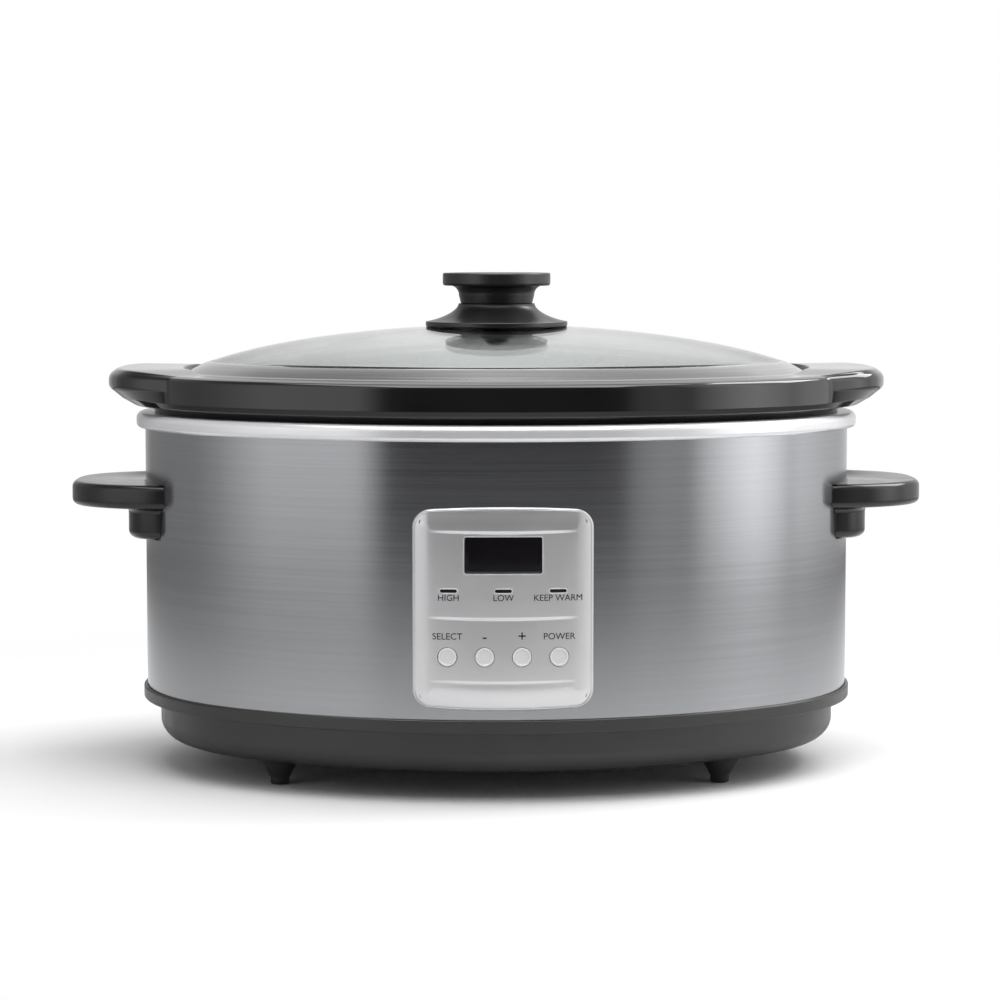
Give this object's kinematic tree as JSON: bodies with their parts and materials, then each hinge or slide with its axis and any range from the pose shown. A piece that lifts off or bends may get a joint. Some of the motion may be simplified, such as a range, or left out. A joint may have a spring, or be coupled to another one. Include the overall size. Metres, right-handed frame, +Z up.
{
  "type": "slow cooker",
  "caption": "Oval slow cooker: steel heating base with digital panel and side handles, lift-out stoneware crock, and domed glass lid with knob.",
  "frame": {"origin": "on the surface it stands on, under the middle of the housing", "axes": "+X to the right side handle, -Y to the control panel, +Z up to the lid knob"},
  "size_m": [0.4312, 0.2806, 0.249],
  "materials": {
    "brushed_housing": "vertical brushed, dark",
    "satin_ring": "satin silver",
    "aluminised_steel": "matt, aluminised",
    "mica_heater": "woven heater tape",
    "base_plastic": "fine moulded texture",
    "pad_rubber": "matt",
    "zinc_steel": "zinc plated",
    "gland_plastic": "moulded",
    "handle_plastic": "polished black",
    "panel_plastic": "satin silver paint",
    "window_plastic": "smoked, polished",
    "lens_plastic": "milky",
    "board_laminate": "solder mask",
    "relay_plastic": "moulded",
    "coil_tape": "taped winding",
    "terminal_plastic": "moulded",
    "lead_sleeve": "braided sleeve",
    "stoneware": "gloss black glaze",
    "lid_glass": "clear tempered",
    "bright_band": "polished",
    "knob_plastic": "polished phenolic",
    "insert_brass": "turned",
    "dark_screw": "dark finish",
    "button_plastic": "satin silver paint",
    "plunger_plastic": "moulded"
  },
  "bodies": {
    "heating_base": {"housing": "brushed_housing", "rim_ring": "satin_ring", "inner_liner": "aluminised_steel", "heater_band": "mica_heater", "base_shell": "base_plastic", "foot_pads": "pad_rubber", "tie_stud": "zinc_steel", "tie_nut": "zinc_steel", "cord_gland": "gland_plastic", "gland_nut": "gland_plastic", "side_handle_left": "handle_plastic", "side_handle_right": "handle_plastic", "handle_screws": "zinc_steel", "panel_bezel": "panel_plastic", "panel_screws": "zinc_steel", "display_window": "window_plastic", "display_module": "base_plastic", "indicator_lenses": "lens_plastic", "indicator_leds": "lens_plastic", "control_board": "board_laminate", "control_board_screws": "zinc_steel", "tactile_switches": "base_plastic", "power_board": "board_laminate", "power_board_screws": "zinc_steel", "relay": "relay_plastic", "transformer": "coil_tape", "filter_capacitor": "relay_plastic", "terminal_block": "terminal_plastic", "temperature_sensor": "zinc_steel", "sensor_clip": "zinc_steel", "thermal_fuse": "zinc_steel", "fuse_clip": "zinc_steel", "heater_leads": "lead_sleeve", "ribbon_cable": "lead_sleeve"},
    "crock": {"crock": "stoneware"},
    "lid": {"lid_glass": "lid_glass", "lid_band": "bright_band", "knob": "knob_plastic", "knob_base": "knob_plastic", "knob_insert": "insert_brass", "knob_gasket": "pad_rubber", "knob_washer": "zinc_steel", "knob_screw": "dark_screw"},
    "select_key": {"select_button": "button_plastic", "select_plunger": "plunger_plastic"},
    "minus_key": {"minus_button": "button_plastic", "minus_plunger": "plunger_plastic"},
    "plus_key": {"plus_button": "button_plastic", "plus_plunger": "plunger_plastic"},
    "power_key": {"power_button": "button_plastic", "power_plunger": "plunger_plastic"}
  },
  "joints": [
    {"name": "crock_lift", "type": "slide", "parent": "heating_base", "child": "crock", "axis": [0, 0, 1], "range_m": [0, 0.16]},
    {"name": "lid_lift", "type": "slide", "parent": "crock", "child": "lid", "axis": [0, 0, 1], "range_m": [0, 0.12]},
    {"name": "select_press", "type": "slide", "parent": "heating_base", "child": "select_key", "axis": [0, 1, 0], "range_m": [0, 0.0008], "stiffness_N_per_m": 2000},
    {"name": "minus_press", "type": "slide", "parent": "heating_base", "child": "minus_key", "axis": [0, 1, 0], "range_m": [0, 0.0008], "stiffness_N_per_m": 2000},
    {"name": "plus_press", "type": "slide", "parent": "heating_base", "child": "plus_key", "axis": [0, 1, 0], "range_m": [0, 0.0008], "stiffness_N_per_m": 2000},
    {"name": "power_press", "type": "slide", "parent": "heating_base", "child": "power_key", "axis": [0, 1, 0], "range_m": [0, 0.0008], "stiffness_N_per_m": 2000}
  ]
}
